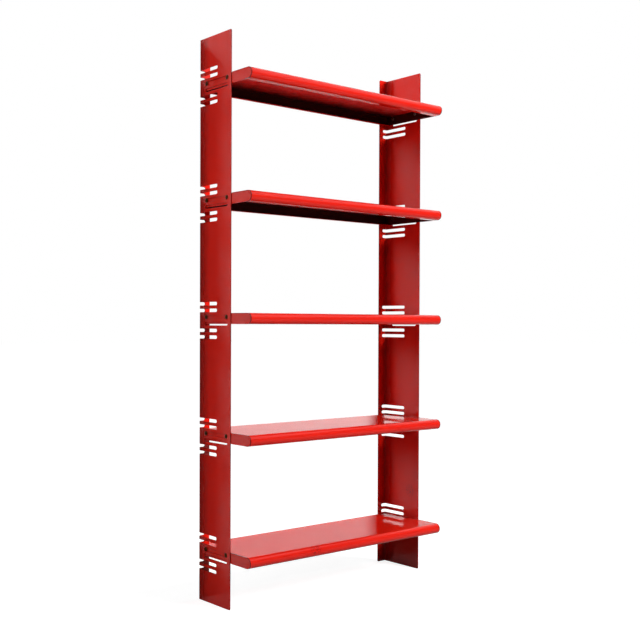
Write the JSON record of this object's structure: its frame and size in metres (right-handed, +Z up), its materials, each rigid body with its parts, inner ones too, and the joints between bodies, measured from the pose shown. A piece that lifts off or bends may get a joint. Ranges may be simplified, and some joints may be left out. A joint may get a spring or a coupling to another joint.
{
  "type": "wall bookcase",
  "caption": "Tall open wall bookcase of folded, red enamelled sheet steel: slotted L-section uprights carry bull-nosed tray shelves bolted on at their ends.",
  "frame": {"origin": "on the floor, in the middle of the overall width and depth", "axes": "+Z up, +X along the shelves towards the right-hand upright seen from the front, +Y towards the wall; the front faces -Y"},
  "size_m": [0.9372, 0.3119, 2],
  "materials": {
    "red_enamel": "gloss stoved enamel on sheet steel",
    "dark_bolt_steel": "brown-black burnished steel",
    "plain_nut_steel": "plain zinc-coated steel"
  },
  "bodies": {
    "root": {"left_upright": "red_enamel", "right_upright": "red_enamel", "shelf_1_pan": "red_enamel", "shelf_1_left_end_plate": "red_enamel", "shelf_1_left_nose_cap": "red_enamel", "shelf_1_right_end_plate": "red_enamel", "shelf_1_right_nose_cap": "red_enamel", "shelf_1_bolts": "dark_bolt_steel", "shelf_1_nuts": "plain_nut_steel", "shelf_2_pan": "red_enamel", "shelf_2_left_end_plate": "red_enamel", "shelf_2_left_nose_cap": "red_enamel", "shelf_2_right_end_plate": "red_enamel", "shelf_2_right_nose_cap": "red_enamel", "shelf_2_bolts": "dark_bolt_steel", "shelf_2_nuts": "plain_nut_steel", "shelf_3_pan": "red_enamel", "shelf_3_left_end_plate": "red_enamel", "shelf_3_left_nose_cap": "red_enamel", "shelf_3_right_end_plate": "red_enamel", "shelf_3_right_nose_cap": "red_enamel", "shelf_3_bolts": "dark_bolt_steel", "shelf_3_nuts": "plain_nut_steel", "shelf_4_pan": "red_enamel", "shelf_4_left_end_plate": "red_enamel", "shelf_4_left_nose_cap": "red_enamel", "shelf_4_right_end_plate": "red_enamel", "shelf_4_right_nose_cap": "red_enamel", "shelf_4_bolts": "dark_bolt_steel", "shelf_4_nuts": "plain_nut_steel", "shelf_5_pan": "red_enamel", "shelf_5_left_end_plate": "red_enamel", "shelf_5_left_nose_cap": "red_enamel", "shelf_5_right_end_plate": "red_enamel", "shelf_5_right_nose_cap": "red_enamel", "shelf_5_bolts": "dark_bolt_steel", "shelf_5_nuts": "plain_nut_steel"}
  },
  "joints": []
}
